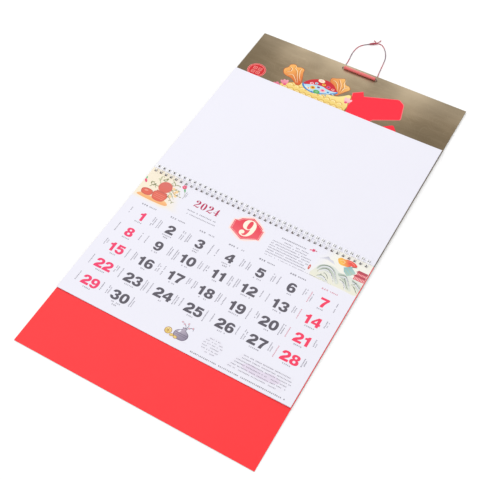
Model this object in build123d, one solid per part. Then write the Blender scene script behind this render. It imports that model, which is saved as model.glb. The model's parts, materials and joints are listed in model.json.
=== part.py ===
from build123d import *
import os
from math import asin, atan2, cos, degrees, hypot, pi, radians, sin, sqrt, tan

os.makedirs("parts", exist_ok=True)

# Wall calendar, lying face up. X runs across it, +Y towards its hanging loop, +Z up.
# The origin is on the resting surface, midway along and under the binding wire.

# Sheets and boards, in millimetres.
calendar_width = 345.6
head_board_length = 326.0     # from the binding line to the board's outer edge
base_board_length = 324.0
board_thickness = 0.8
page_width = 344.4
page_shift = -0.6             # the pages sit a little left on the boards
page_length = 233.6           # each sheet, from the binding line to its outer edge
sheet_thickness = 0.14
turned_count = 8              # January to August, turned over the head board
later_count = 3               # October to December, behind the page in front
gap_between_pieces = 0.3

# The edges of the boards and pages inside the ring stop just short of the binding line.
board_inner_edge = 0.3
page_inner_edge = 0.25

# Twin-loop binding wire.
loop_count = 40
loop_pitch = 8.467
row_offset = -2.0             # the row of loops stands a little left of centre
wire_diameter = 1.0
ring_radius = 4.75            # to the wire's centre line
loop_half_width = 1.25        # from a loop's middle to each of its two strands
hole_side = 3.8
seam_half_gap = 5.0           # degrees, from straight down to each side of the seam

# How high the boards lie: on the ring at the binding, lower at their outer edges.
binding_lift = 2.0
head_outer_lift = 1.45        # the cord passes under this edge
base_outer_lift = 0.0

# Hanger: a sleeve across the top of the head board with a cord through it.
cord_diameter = 1.3
sleeve_diameter = 5.0
sleeve_bore = 3.0
sleeve_length = 53.0
sleeve_y = 317.0
cord_hole_x = 29.4
cord_hole_diameter = 4.0
cord_start_inside = 0.9       # the cord's ends stand this far inside the sleeve's mouths

wire_radius = wire_diameter / 2
cord_radius = cord_diameter / 2
axis_height = hypot(ring_radius, loop_half_width) + wire_radius
head_tilt = degrees(asin((binding_lift - head_outer_lift) / head_board_length))
base_tilt = degrees(asin((binding_lift - base_outer_lift) / base_board_length))


def loop_middles():
    first = row_offset - loop_pitch * (loop_count - 1) / 2
    return [first + loop_pitch * i for i in range(loop_count)]


def hole_row(underside, thickness):
    """How far from the binding line the ring passes through a layer at this height."""
    drop = axis_height - (underside + thickness / 2)
    return sqrt(ring_radius**2 - drop**2)


def punched_plate(side, width, inner, outer, underside, thickness, tilt, shift=0):
    """A flat plate on one side of the binding, +1 for the head side and -1 for the base side.
    It is punched for the loops and tilted about the binding line at the boards' height."""
    middle = side * (inner + outer) / 2
    outline = Location((shift, middle)) * Rectangle(width, outer - inner)
    row = side * hole_row(underside, thickness)
    holes = Sketch() + [Location((x, row)) * Rectangle(hole_side, hole_side) for x in loop_middles()]
    plate = extrude(outline - holes, thickness)
    pivot = Axis((0, 0, binding_lift), (1, 0, 0))
    return (Location((0, 0, underside)) * plate).rotate(pivot, -side * tilt)


def ring_point(x, angle):
    """A point on the ring's centre line. The angle runs from +Y towards +Z."""
    a = radians(angle)
    return Vector(x, ring_radius * cos(a), axis_height + ring_radius * sin(a))


def along_ring(angle):
    """The direction of growing angle at a point of the ring."""
    a = radians(angle)
    return Vector(0, -sin(a), cos(a))


def binding_wire():
    """One wire bent into fingers, rolled into a ring. The fingers' tips, on the head side of the
    seam, meet the links between fingers, on its base side, under the calendar."""
    bend = degrees(loop_half_width / ring_radius)
    tip_angle = -90 + seam_half_gap + bend
    link_angle = 270 - seam_half_gap - bend
    top_angle = (tip_angle + link_angle) / 2
    tip_reach = along_ring(tip_angle) * -loop_half_width
    link_reach = along_ring(link_angle) * loop_half_width
    across = Vector(loop_half_width, 0, 0)
    corner = cos(radians(45))
    middles = loop_middles()
    edges = []
    for i, x in enumerate(middles):
        left, right = x - loop_half_width, x + loop_half_width
        edges.append(ThreePointArc(
            ring_point(left, link_angle), ring_point(left, top_angle), ring_point(left, tip_angle)))
        edges.append(ThreePointArc(
            ring_point(left, tip_angle), ring_point(x, tip_angle) + tip_reach,
            ring_point(right, tip_angle)))
        edges.append(ThreePointArc(
            ring_point(right, tip_angle), ring_point(right, top_angle),
            ring_point(right, link_angle)))
        if i + 1 == len(middles):
            break
        next_left = middles[i + 1] - loop_half_width
        start = ring_point(right, link_angle)
        end = ring_point(next_left, link_angle)
        link_start, link_end = start + across + link_reach, end - across + link_reach
        to_corner = link_reach * corner
        edges.append(ThreePointArc(start, start + across * (1 - corner) + to_corner, link_start))
        edges.append(Line(link_start, link_end))
        edges.append(ThreePointArc(link_end, end - across * (1 - corner) + to_corner, end))
    path = Wire(edges)
    section = Plane(origin=path @ 0, z_dir=path % 0) * Circle(wire_radius)
    return sweep(section, path=path)


def board_top(y):
    """Height of the head board's upper face at a distance from the binding line."""
    return binding_lift + board_thickness - y * sin(radians(head_tilt))


sleeve_height = board_top(sleeve_y) + sleeve_diameter / 2
cord_low = cord_radius        # the cord's centre line where it lies on the surface

# The cord's route: out of the sleeve's left mouth, down through the board, out under its top
# edge, round the loop through the knot, and back into the sleeve's right mouth.
cord_route = [
    (-sleeve_length / 2 + cord_start_inside, sleeve_y, sleeve_height),
    (-cord_hole_x, sleeve_y, sleeve_height),
    (-cord_hole_x, sleeve_y, cord_low),
    (-28.4, 325.0, cord_low),
    (-28.6, 338.0, cord_low),
    (-31.6, 356.5, cord_low),
    (-29.6, 376.0, cord_low),
    (-17.4, 387.9, cord_low),
    (-1.6, 399.2, cord_low),
    (10.4, 389.8, cord_low),
    (19.4, 373.2, cord_low),
    (22.0, 355.4, cord_low),
    (24.1, 338.7, cord_low),
    (26.4, 325.0, cord_low),
    (cord_hole_x, sleeve_y, cord_low),
    (cord_hole_x, sleeve_y, sleeve_height),
    (sleeve_length / 2 - cord_start_inside, sleeve_y, sleeve_height),
]


def corner_radii(points):
    """The largest arcs that the runs on each side of a corner have room for."""
    radii = []
    for a, b, c in zip(points, points[1:], points[2:]):
        run_in, run_out = Vector(b) - Vector(a), Vector(c) - Vector(b)
        turn = run_in.get_angle(run_out)
        radii.append(0.45 * min(run_in.length, run_out.length) / tan(radians(turn) / 2))
    return radii


def hanging_cord():
    radii = corner_radii(cord_route)
    print("cord radii", [round(r, 1) for r in radii])
    line = FilletPolyline(*cord_route, radius=radii)
    path = line if isinstance(line, Wire) else Wire(line.edges())
    section = Plane(origin=path @ 0, z_dir=path % 0) * Circle(cord_radius)
    tube = sweep(section, path=path)
    expected = pi * cord_radius**2 * path.length
    print(f"cord length {path.length:.1f}, volume {tube.volume:.1f} of {expected:.1f}")
    return tube


# The knot: a barrel of wrapped cord along the top of the loop, and the two cut ends beside it.
knot_start = (-16.4, 387.4)
knot_end = (-5.4, 395.4)
knot_radius = 1.7
knot_end_radius = 0.8
tail_root = (-7.2, 394.0)
tail_tips = [(-13.4, 399.6), (-3.6, 405.4)]


def cord_knot():
    start, end = Vector(*knot_start, knot_radius), Vector(*knot_end, knot_radius)
    length = (end - start).length
    side = ThreePointArc((0, knot_end_radius), (length / 2, knot_radius), (length, knot_end_radius))
    rest = Polyline((length, knot_end_radius), (length, 0), (0, 0), (0, knot_end_radius))
    profile = make_face(Wire([side, *rest.edges()]))
    barrel = revolve(profile, Axis.X)
    heading = degrees(atan2(end.Y - start.Y, end.X - start.X))
    knot = Location(start, (0, 0, heading)) * barrel
    root = Vector(*tail_root, knot_radius)
    for x, y in tail_tips:
        tip = Vector(x, y, cord_low + 0.1)
        along = Plane(origin=root, z_dir=tip - root)
        knot += extrude(along * Circle(cord_radius), (tip - root).length)
    return knot


def hanger_sleeve():
    ring = Circle(sleeve_diameter / 2) - Circle(sleeve_bore / 2)
    across = Plane(origin=(-sleeve_length / 2, sleeve_y, sleeve_height), z_dir=(1, 0, 0))
    return extrude(across * ring, sleeve_length)


def head_board():
    board = punched_plate(
        1, calendar_width, board_inner_edge, head_board_length, binding_lift, board_thickness,
        head_tilt)
    for x in (-cord_hole_x, cord_hole_x):
        board -= Location((x, sleeve_y, binding_lift)) * Cylinder(cord_hole_diameter / 2, 8)
    return board


def base_board():
    return punched_plate(
        -1, calendar_width, board_inner_edge, base_board_length, binding_lift, board_thickness,
        base_tilt)


def page_stack(side, count, underside, tilt):
    return punched_plate(
        side, page_width, page_inner_edge, page_length, underside, count * sheet_thickness, tilt,
        page_shift)


first_page_height = binding_lift + board_thickness + gap_between_pieces
front_page_height = first_page_height + later_count * sheet_thickness + gap_between_pieces

nodes = {
    "head_board": head_board(),
    "base_board": base_board(),
    "binding_wire": binding_wire(),
    "turned_pages": page_stack(1, turned_count, first_page_height, head_tilt),
    "later_pages": page_stack(-1, later_count, first_page_height, base_tilt),
    "front_page": page_stack(-1, 1, front_page_height, base_tilt),
    "hanger_sleeve": hanger_sleeve(),
    "hanging_cord": hanging_cord(),
    "cord_knot": cord_knot(),
}
for name, shape in nodes.items():
    export_step(shape, f"parts/{name}.step")
    box = shape.bounding_box()
    print(f"{name}: solids {len(shape.solids())}, volume {shape.volume:.0f},",
          f"z {box.min.Z:.2f} to {box.max.Z:.2f}")
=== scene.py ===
import json
import math
import random

import bmesh
import bpy
from mathutils import Matrix, Vector
from mathutils.geometry import tessellate_polygon


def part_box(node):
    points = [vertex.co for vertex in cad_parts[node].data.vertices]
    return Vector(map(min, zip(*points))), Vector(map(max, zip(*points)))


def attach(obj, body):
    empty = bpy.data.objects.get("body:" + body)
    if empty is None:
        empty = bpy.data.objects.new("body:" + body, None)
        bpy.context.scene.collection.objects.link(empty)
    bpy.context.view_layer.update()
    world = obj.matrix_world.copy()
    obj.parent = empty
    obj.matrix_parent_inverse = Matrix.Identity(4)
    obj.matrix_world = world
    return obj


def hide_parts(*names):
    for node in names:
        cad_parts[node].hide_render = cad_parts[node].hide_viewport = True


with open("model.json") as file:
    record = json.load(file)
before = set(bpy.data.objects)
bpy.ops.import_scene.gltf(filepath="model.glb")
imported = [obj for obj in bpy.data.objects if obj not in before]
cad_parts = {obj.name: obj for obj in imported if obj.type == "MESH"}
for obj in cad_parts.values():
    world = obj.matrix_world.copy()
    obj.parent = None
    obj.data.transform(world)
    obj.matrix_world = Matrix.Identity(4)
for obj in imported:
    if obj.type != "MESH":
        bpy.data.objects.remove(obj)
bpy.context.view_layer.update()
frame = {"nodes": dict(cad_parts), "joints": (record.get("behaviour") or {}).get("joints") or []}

mm = 0.001


def srgb(red, green, blue):
    # paint values from 0 to 255, as the linear colour that shaders take
    def linear(value):
        share = value / 255
        return share / 12.92 if share <= 0.04045 else ((share + 0.055) / 1.055) ** 2.4
    return (linear(red), linear(green), linear(blue), 1.0)


# The stage, the camera and the light.

stage = {
    "floorSize": 8.0,
    "floorDrop": 0.05 * mm,
    "floorColour": srgb(255, 255, 255),
    "skyColour": srgb(255, 255, 255),
    "skyStrength": 0.97,
    "keyPower": 13.0,
    "keySize": 2.6,
    "keyPlace": (-1.3, 1.0, 2.1),
}
camera = {
    "place": (0.3549, -0.6799, 1.0118),
    "azimuth": 29.62,
    "elevation": 54.32,
    "roll": 0.27,
    "lens": 69.05,
}


def makeStage():
    scene = bpy.context.scene
    scene.view_settings.view_transform = "Standard"
    half = stage["floorSize"] / 2
    mesh = bpy.data.meshes.new("floor")
    mesh.from_pydata([(-half, -half, 0), (half, -half, 0), (half, half, 0), (-half, half, 0)], [],
                     [(0, 1, 2, 3)])
    floor = bpy.data.objects.new("floor", mesh)
    scene.collection.objects.link(floor)
    floor.location.z = -stage["floorDrop"]
    mat = bpy.data.materials.new("floorPaint")
    mat.use_nodes = True
    shader = mat.node_tree.nodes["Principled BSDF"]
    shader.inputs["Base Color"].default_value = stage["floorColour"]
    shader.inputs["Roughness"].default_value = 0.9
    shader.inputs["Specular IOR Level"].default_value = 0.1
    mesh.materials.append(mat)

    world = bpy.data.worlds.new("softRoom")
    world.use_nodes = True
    sky = world.node_tree.nodes["Background"]
    sky.inputs["Color"].default_value = stage["skyColour"]
    sky.inputs["Strength"].default_value = stage["skyStrength"]
    scene.world = world

    lamp = bpy.data.lights.new("softbox", "AREA")
    lamp.energy, lamp.size = stage["keyPower"], stage["keySize"]
    key = bpy.data.objects.new("softbox", lamp)
    scene.collection.objects.link(key)
    key.location = stage["keyPlace"]
    key.rotation_euler = Vector(stage["keyPlace"]).to_track_quat("Z", "Y").to_euler()


def makeCamera():
    data = bpy.data.cameras.new("camera")
    data.lens = camera["lens"]
    cam = bpy.data.objects.new("camera", data)
    bpy.context.scene.collection.objects.link(cam)
    turn = Matrix.Rotation(math.radians(camera["azimuth"]), 4, "Z")
    tip = Matrix.Rotation(math.radians(90 - camera["elevation"]), 4, "X")
    roll = Matrix.Rotation(math.radians(camera["roll"]), 4, "Z")
    cam.matrix_world = Matrix.Translation(camera["place"]) @ turn @ tip @ roll
    bpy.context.scene.camera = cam


makeStage()
makeCamera()
print("stage, light and camera are set")


# Helpers for shader nodes.

def link(tree, source, target):
    tree.links.new(source, target)


def addNode(tree, kind, **values):
    node = tree.nodes.new(kind)
    for name, value in values.items():
        setattr(node, name, value)
    return node


def makeGroup(name, inputs, outputs):
    group = bpy.data.node_groups.new(name, "ShaderNodeTree")
    for label, kind, value in inputs:
        socket = group.interface.new_socket(label, in_out="INPUT", socket_type=kind)
        if value is not None:
            socket.default_value = value
    for label, kind in outputs:
        group.interface.new_socket(label, in_out="OUTPUT", socket_type=kind)
    return group, group.nodes.new("NodeGroupInput"), group.nodes.new("NodeGroupOutput")


def noiseAt(tree, vector, scaleSocket=None, scale=100.0, detail=3.0, rough=0.55):
    node = addNode(tree, "ShaderNodeTexNoise")
    node.inputs["Scale"].default_value = scale
    node.inputs["Detail"].default_value = detail
    node.inputs["Roughness"].default_value = rough
    link(tree, vector, node.inputs["Vector"])
    if scaleSocket:
        link(tree, scaleSocket, node.inputs["Scale"])
    return node.outputs["Fac"]


def maths(tree, operation, a, b, clamp=False):
    node = addNode(tree, "ShaderNodeMath", operation=operation, use_clamp=clamp)
    for socket, value in zip(node.inputs, (a, b)):
        if isinstance(value, (int, float)):
            socket.default_value = value
        else:
            link(tree, value, socket)
    return node.outputs[0]


def spread(tree, value, low, high, toLow=0.0, toHigh=1.0):
    node = addNode(tree, "ShaderNodeMapRange", interpolation_type="SMOOTHSTEP")
    for index, number in enumerate((low, high, toLow, toHigh), 1):
        node.inputs[index].default_value = number
    link(tree, value, node.inputs[0])
    return node.outputs[0]


def mixColour(tree, factor, a, b, how="MIX"):
    node = addNode(tree, "ShaderNodeMix", data_type="RGBA", blend_type=how)
    for socket, value in ((node.inputs[0], factor), (node.inputs[6], a), (node.inputs[7], b)):
        if isinstance(value, (int, float, tuple)):
            socket.default_value = value
        else:
            link(tree, value, socket)
    return node.outputs[2]


# One group gives every stock its mottling, its gloss and its fine tooth.
def makeGrainGroup():
    group, source, result = makeGroup(
        "stockGrain",
        [("Colour", "NodeSocketColor", (0.8, 0.8, 0.8, 1)), ("Shade", "NodeSocketFloat", 0.05),
         ("Grain scale", "NodeSocketFloat", 2500.0), ("Cloud scale", "NodeSocketFloat", 30.0),
         ("Gloss", "NodeSocketFloat", 0.5), ("Gloss spread", "NodeSocketFloat", 0.1),
         ("Tooth", "NodeSocketFloat", 0.02)],
        [("Colour", "NodeSocketColor"), ("Roughness", "NodeSocketFloat"),
         ("Normal", "NodeSocketVector")])
    place = addNode(group, "ShaderNodeTexCoord").outputs["Object"]
    fine = noiseAt(group, place, source.outputs["Grain scale"], detail=4.0)
    cloud = noiseAt(group, place, source.outputs["Cloud scale"], detail=2.0)
    both = maths(group, "ADD", maths(group, "MULTIPLY", fine, 0.4),
                 maths(group, "MULTIPLY", cloud, 0.6))
    darker = maths(group, "MULTIPLY", maths(group, "SUBTRACT", 0.75, both),
                   source.outputs["Shade"], clamp=True)
    dark = mixColour(group, 1.0, source.outputs["Colour"], (0.25, 0.24, 0.26, 1), "MULTIPLY")
    link(group, mixColour(group, darker, source.outputs["Colour"], dark),
         result.inputs["Colour"])
    gloss = maths(group, "MULTIPLY", maths(group, "SUBTRACT", both, 0.5),
                  source.outputs["Gloss spread"])
    link(group, maths(group, "ADD", source.outputs["Gloss"], gloss, clamp=True),
         result.inputs["Roughness"])
    bump = addNode(group, "ShaderNodeBump")
    bump.inputs["Distance"].default_value = 0.05 * mm
    link(group, source.outputs["Tooth"], bump.inputs["Strength"])
    link(group, fine, bump.inputs["Height"])
    link(group, bump.outputs[0], result.inputs["Normal"])
    return group


grainGroup = makeGrainGroup()


def grainedMaterial(name, colour, shade=0.05, grain=2500.0, cloud=30.0, gloss=0.5,
                    glossSpread=0.1, tooth=0.1, **fixed):
    mat = bpy.data.materials.new(name)
    mat.use_nodes = True
    tree = mat.node_tree
    shader = tree.nodes["Principled BSDF"]
    grainNode = addNode(tree, "ShaderNodeGroup", node_tree=grainGroup)
    for label, value in (("Colour", colour), ("Shade", shade), ("Grain scale", grain),
                         ("Cloud scale", cloud), ("Gloss", gloss),
                         ("Gloss spread", glossSpread), ("Tooth", tooth)):
        grainNode.inputs[label].default_value = value
    link(tree, grainNode.outputs["Colour"], shader.inputs["Base Color"])
    link(tree, grainNode.outputs["Roughness"], shader.inputs["Roughness"])
    link(tree, grainNode.outputs["Normal"], shader.inputs["Normal"])
    for label, value in fixed.items():
        shader.inputs[label.replace("_", " ")].default_value = value
    return mat, tree, shader, grainNode


# The flat layers and the ring, measured from the frame.

edgeBand = 0.5 * mm           # how near an end a corner lies to count as part of it


def plateOf(node):
    # a flat layer on one side of the binding: its edges and its heights near and far from it
    points = [v.co for v in frame["nodes"][node].data.vertices]
    near, far = min(abs(p.y) for p in points), max(abs(p.y) for p in points)
    nearHeights = [p.z for p in points if abs(p.y) < near + edgeBand]
    farHeights = [p.z for p in points if abs(p.y) > far - edgeBand]
    return {
        "side": 1 if max(p.y for p in points) > far / 2 else -1,
        "near": near, "far": far,
        "left": min(p.x for p in points), "right": max(p.x for p in points),
        "under": (min(nearHeights), min(farHeights)),
        "top": (max(nearHeights), max(farHeights)),
    }


hinge = Vector(frame["joints"][0]["pos_m"])
wireLow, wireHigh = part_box("binding_wire")
wireSettings = {
    "thickness": 1.0 * mm,
    "loops": 40,
    "halfFinger": 1.25 * mm,
    "seamHalfGap": 5.0,      # degrees each side of straight down
    "arcSteps": 30,
    "bendSteps": 6,
    "roundness": 4,
    "colour": srgb(255, 255, 255),
}
ringRadius = (wireHigh.y - wireLow.y - wireSettings["thickness"]) / 2
firstLoop = wireLow.x + wireSettings["halfFinger"] + wireSettings["thickness"] / 2
lastLoop = wireHigh.x - wireSettings["halfFinger"] - wireSettings["thickness"] / 2
loopPitch = (lastLoop - firstLoop) / (wireSettings["loops"] - 1)
loopMiddles = [firstLoop + loopPitch * i for i in range(wireSettings["loops"])]


def heightIn(plate, share, down):
    # height inside a plate: share 0 is its underside and 1 its top, down is from the binding
    along = (down - plate["near"]) / (plate["far"] - plate["near"])
    under = plate["under"][0] + (plate["under"][1] - plate["under"][0]) * along
    top = plate["top"][0] + (plate["top"][1] - plate["top"][0]) * along
    return under + (top - under) * share


def holeLine(height):
    return math.sqrt(ringRadius ** 2 - (hinge.z - height) ** 2)


# The sheets of paper.

sheetSettings = {
    "holeSide": 3.8 * mm,
    "rows": 30,
    "paperShare": 0.88,       # of each sheet's pitch in its stack, the rest is air
    "innerEdge": 0.06 * mm,
    "printMargin": 0.3 * mm,
    # painted shade: the walls of the punched holes are dark, for the shade inside the holes
    "paintedHoleShade": srgb(46, 43, 54),
    "paper": srgb(233, 232, 242),
    "paperEdge": srgb(206, 205, 214),
}
paperLook = {"shade": 0.05, "grain": 1800.0, "cloud": 14.0, "gloss": 0.42, "glossSpread": 0.12,
             "tooth": 0.06}
stackSettings = {
    "turned_pages": {"sheets": 8, "body": "turned_pages", "belly": 0.9 * mm, "wave": 2.1,
                     "leftCorner": 0.9 * mm, "rightCorner": 1.5 * mm, "stray": 0.35 * mm,
                     "seed": 11},
    "later_pages": {"sheets": 3, "body": "later_pages", "belly": 0.25 * mm, "wave": 1.6,
                    "leftCorner": 0.3 * mm, "rightCorner": 0.35 * mm, "stray": 0.25 * mm,
                    "seed": 5},
    "front_page": {"sheets": 1, "body": "front_page", "belly": 0.55 * mm, "wave": 1.6,
                   "leftCorner": 0.7 * mm, "rightCorner": 0.9 * mm, "stray": 0.0, "seed": 3},
}


def curlAt(settings, plate, index, x, down):
    # how far a sheet stands off its flat place: a soft belly and two lifted corners
    across = 2 * (x - plate["left"]) / (plate["right"] - plate["left"]) - 1
    along = max(0.0, min(1.0, down / plate["far"]))
    belly = math.sin(math.pi * along) ** 2 * (0.75 + 0.25 * math.cos(settings["wave"] * across * 2))
    left = max(0.0, -across) ** 3 * along ** 4
    right = max(0.0, across) ** 3 * along ** 4
    rise = (settings["belly"] * belly + settings["leftCorner"] * left
            + settings["rightCorner"] * right)
    return rise * (index + 1) / settings["sheets"]


def sheetLevels(settings, plate, index, x, down):
    count = settings["sheets"]
    rise = curlAt(settings, plate, index, x, down)
    low = heightIn(plate, index / count, down) + rise
    high = heightIn(plate, (index + sheetSettings["paperShare"]) / count, down) + rise
    return low, high


def gridLines(left, right, near, far, row, steps):
    # the lines of a punched layer's mesh, which pass each side of every hole
    half = sheetSettings["holeSide"] / 2
    columns = [left] + [x + step for x in loopMiddles for step in (-half, half)] + [right]
    rows = [near, row - half, row + half]
    rows += [row + half + (far - row - half) * (i / steps) for i in range(1, steps + 1)]
    return columns, rows


def sheetGrid(settings, plate, index, draw):
    row = holeLine(heightIn(plate, (index + 0.5) / settings["sheets"], plate["near"]))
    stray = settings["stray"]      # the sheets' edges are never quite in line
    left = plate["left"] + draw.uniform(0, 1.4) * stray
    right = plate["right"] + draw.uniform(-1, 1) * stray
    far = plate["far"] + draw.uniform(-1, 0.4) * stray
    return gridLines(left, right, sheetSettings["innerEdge"], far, row, sheetSettings["rows"])


def addPunchedSheet(bm, columns, rows, side, levelsAt, slots):
    # a closed sheet with square holes in its second row; slots: top, underside, edge, and the hole walls,
    # which take a painted shade
    levels = [[], []]
    for down in rows:
        for x in columns:
            for level, z in zip(levels, levelsAt(x, down)):
                level.append(bm.verts.new((x, side * down, z)))
    wide, high = len(columns), len(rows)

    def inside(i, j):
        return 0 <= i < wide - 1 and 0 <= j < high - 1

    def solid(i, j):
        return inside(i, j) and not (j == 1 and i % 2 == 1)

    under, top = levels
    for j in range(high - 1):
        for i in range(wide - 1):
            if not solid(i, j):
                continue
            a = j * wide + i
            b, c, d = a + 1, a + wide + 1, a + wide
            bm.faces.new([top[k] for k in (a, b, c, d)]).material_index = slots[0]
            bm.faces.new([under[k] for k in (d, c, b, a)]).material_index = slots[1]
            for first, second, i2, j2 in ((a, b, i, j - 1), (b, c, i + 1, j),
                                          (c, d, i, j + 1), (d, a, i - 1, j)):
                if not solid(i2, j2):
                    wall = bm.faces.new([under[first], under[second], top[second], top[first]])
                    wall.material_index = slots[3 if inside(i2, j2) else 2]


def makeStack(node):
    settings, plate = stackSettings[node], plateOf(node)
    draw = random.Random(settings["seed"])
    last = settings["sheets"] - 1
    bm = bmesh.new()
    for index in range(settings["sheets"]):
        columns, rows = sheetGrid(settings, plate, index, draw)
        printedTop = plate["side"] < 0 and index == last
        printedUnder = plate["side"] > 0 and index == 0
        addPunchedSheet(bm, columns, rows, plate["side"],
                        lambda x, down: sheetLevels(settings, plate, index, x, down),
                        (2 if printedTop else 0, 2 if printedUnder else 0, 1, 3))
    bmesh.ops.recalc_face_normals(bm, faces=bm.faces)
    piece = finishMesh(bm, node.title().replace("_", ""), [paper, paperEdge, printed, paintedHoleShade],
                       smooth=False)
    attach(piece, settings["body"])
    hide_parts(node)


def finishMesh(bm, name, materials, smooth=True):
    mesh = bpy.data.meshes.new(name)
    bm.to_mesh(mesh)
    bm.free()
    for mat in materials:
        mesh.materials.append(mat)
    if smooth:
        mesh.polygons.foreach_set("use_smooth", [True] * len(mesh.polygons))
    piece = bpy.data.objects.new(name[0].lower() + name[1:], mesh)
    bpy.context.scene.collection.objects.link(piece)
    return piece


paper = grainedMaterial("coatedPaper", sheetSettings["paper"], **paperLook)[0]
paperEdge = grainedMaterial("cutPaperEdge", sheetSettings["paperEdge"], shade=0.3, grain=3000.0,
                            gloss=0.8, tooth=0.3)[0]
# painted shade: a dark stock for the punched hole walls, standing in for the shade in the holes
paintedHoleShade = grainedMaterial("paintedHoleShade", sheetSettings["paintedHoleShade"], shade=0.3,
                              grain=3000.0, gloss=0.9, tooth=0.3)[0]


# Ink lies on its sheet as thin closed shapes. Places are (x, distance from the binding) in mm.

inkSettings = {
    "lift": 0.022,           # mm above the paper
    "layerStep": 0.012,
    "sunk": 0.03,
    "largest": 14.0,         # larger faces are cut, so that they follow the paper
}
inks = {
    "darkNumber": (92, 88, 98), "redNumber": (241, 64, 110), "saturdayNumber": (244, 60, 98),
    "smallPrint": (92, 88, 102), "palePrint": (120, 116, 130), "pinkPrint": (206, 104, 126),
    "crimson": (186, 44, 88), "badgeRed": (232, 66, 84), "badgeHalo": (250, 226, 220),
    "badgeCream": (254, 243, 222), "potRed": (218, 112, 102), "potShade": (206, 102, 90),
    "potLight": (238, 158, 140), "amber": (244, 178, 118), "moss": (150, 152, 112),
    "mossPale": (186, 190, 150), "leafGreen": (120, 190, 140), "blossom": (232, 84, 124),
    "blossomPale": (248, 172, 176), "cloudRed": (238, 84, 78), "mountain": (186, 186, 198),
    "teal": (140, 186, 190), "roofRed": (222, 92, 104), "roofDark": (184, 76, 90),
    "hillPale": (222, 226, 220), "hill": (178, 190, 178), "ridge": (98, 110, 100),
    "vaseMauve": (146, 136, 156), "vaseDark": (106, 96, 116), "yolk": (232, 202, 112),
    "tan": (160, 100, 62), "mist": (233, 231, 241), "mistMauve": (226, 216, 232),
    "coral": (250, 34, 58), "coralRim": (252, 118, 124), "sealRed": (208, 10, 26),
    "sealPink": (252, 168, 160), "orange": (216, 98, 34), "orangeRight": (222, 110, 44),
    "orangeDark": (172, 78, 34), "moundYellow": (238, 206, 112), "moundShade": (204, 140, 56),
    "petal": (232, 116, 146), "fanRed": (204, 28, 44), "fanBlue": (52, 128, 200),
    "fanSky": (184, 220, 238), "fanCream": (252, 238, 206), "fanGreen": (92, 172, 84),
    "fanPlum": (118, 66, 124), "fanYellow": (240, 190, 62),
}
# washes run from an ink's own colour to this one, between these two places
washes = {
    "badgeRed": ((238, 92, 104), (0, 14), (0, 46)),
    "potRed": ((226, 104, 84), (0, 16), (0, 48)),
    "amber": ((250, 214, 160), (0, 52), (0, 40)),
    "cloudRed": ((246, 190, 84), (143, 9), (131, 16)),
    "mountain": ((224, 223, 232), (0, 14), (0, 23)),
    "teal": ((176, 206, 196), (140, 16), (154, 30)),
    "hillPale": ((234, 232, 214), (0, 28), (0, 53)),
    "hill": ((218, 222, 210), (0, 26), (0, 52)),
    "vaseMauve": ((196, 186, 200), (12, 218), (-2, 200)),
    "yolk": ((244, 224, 160), (-12, 220), (-10, 211)),
    "orange": ((246, 180, 94), (-78, 250), (-98, 284)),
    "orangeRight": ((246, 190, 106), (-30, 266), (-4, 292)),
    "moundYellow": ((250, 228, 150), (0, 232), (0, 262)),
    "petal": ((250, 196, 200), (0, 236), (0, 262)),
}


# Two colours run into each other along a line, with an uneven, painted join.
def makeWashGroup():
    group, source, result = makeGroup(
        "paintedWash",
        [("First", "NodeSocketColor", (1, 1, 1, 1)), ("Second", "NodeSocketColor", (1, 1, 1, 1)),
         ("From", "NodeSocketVector", (0, 0, 0)), ("Along", "NodeSocketVector", (0, 1, 0)),
         ("Uneven", "NodeSocketFloat", 0.35), ("Scale", "NodeSocketFloat", 160.0)],
        [("Colour", "NodeSocketColor"), ("Share", "NodeSocketFloat")])
    place = addNode(group, "ShaderNodeTexCoord").outputs["Object"]
    flat = addNode(group, "ShaderNodeVectorMath", operation="ABSOLUTE")
    link(group, place, flat.inputs[0])
    apart, joined = addNode(group, "ShaderNodeSeparateXYZ"), addNode(group, "ShaderNodeCombineXYZ")
    absolute = addNode(group, "ShaderNodeSeparateXYZ")
    link(group, place, apart.inputs[0])
    link(group, flat.outputs[0], absolute.inputs[0])
    link(group, apart.outputs[0], joined.inputs[0])
    link(group, absolute.outputs[1], joined.inputs[1])
    step = addNode(group, "ShaderNodeVectorMath", operation="SUBTRACT")
    link(group, joined.outputs[0], step.inputs[0])
    link(group, source.outputs["From"], step.inputs[1])
    along = addNode(group, "ShaderNodeVectorMath", operation="DOT_PRODUCT")
    link(group, step.outputs[0], along.inputs[0])
    link(group, source.outputs["Along"], along.inputs[1])
    cloud = noiseAt(group, place, source.outputs["Scale"], detail=3.0)
    uneven = maths(group, "MULTIPLY", maths(group, "SUBTRACT", cloud, 0.5),
                   source.outputs["Uneven"])
    share = spread(group, maths(group, "ADD", along.outputs["Value"], uneven), 0.0, 1.0)
    link(group, share, result.inputs["Share"])
    link(group, mixColour(group, share, source.outputs["First"], source.outputs["Second"]),
         result.inputs["Colour"])
    return group


washGroup = makeWashGroup()


def washNode(tree, start, end, uneven=0.35, scale=160.0, colours=()):
    node = addNode(tree, "ShaderNodeGroup", node_tree=washGroup)
    line = Vector((end[0] - start[0], end[1] - start[1], 0)) * mm
    for label, colour in zip(("First", "Second"), colours):
        node.inputs[label].default_value = colour
    node.inputs["From"].default_value = (start[0] * mm, start[1] * mm, 0)
    node.inputs["Along"].default_value = line / line.length_squared
    node.inputs["Uneven"].default_value = uneven
    node.inputs["Scale"].default_value = scale
    return node


def fadeAlong(tree, start, end, uneven, scale):
    # 1 before start and 0 after end, with an uneven join
    share = washNode(tree, start, end, uneven, scale).outputs["Share"]
    return maths(tree, "SUBTRACT", 1.0, share)


inkMaterials = {}


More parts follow.
